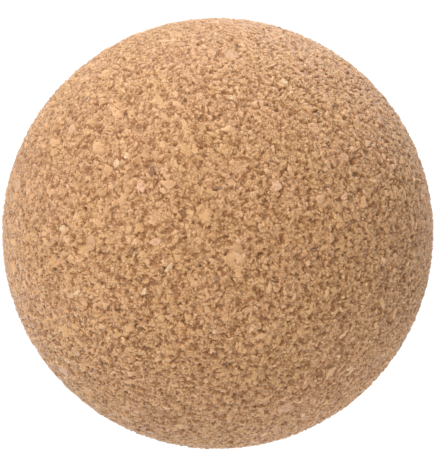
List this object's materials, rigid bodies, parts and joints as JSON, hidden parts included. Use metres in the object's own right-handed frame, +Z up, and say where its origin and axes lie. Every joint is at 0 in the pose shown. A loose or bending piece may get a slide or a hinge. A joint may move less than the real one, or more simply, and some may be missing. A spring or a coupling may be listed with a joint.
{
  "type": "massage ball",
  "caption": "Solid round massage ball of natural agglomerated cork, with coarse granules set flush in a body of fine cork; rolled under the back, foot or hand to press on muscles.",
  "frame": {"origin": "centre of the ball", "axes": "+Z up, -Y towards the front, where the hand-placed coarse granules are; the ball is the same about every axis apart from where its granules lie"},
  "size_m": [0.065, 0.065, 0.065],
  "materials": {
    "fine_cork": "matte",
    "pale_cork": "matte",
    "tan_cork": "matte",
    "rosy_cork": "matte",
    "honey_cork": "matte",
    "bark": "matte",
    "lenticel": "matte"
  },
  "bodies": {
    "root": {"fine_cork_body": "fine_cork", "pale_cork_granules": "pale_cork", "tan_cork_granules": "tan_cork", "rosy_cork_granules": "rosy_cork", "honey_cork_granules": "honey_cork", "bark_granules": "bark", "lenticel_slivers": "lenticel"}
  },
  "joints": []
}
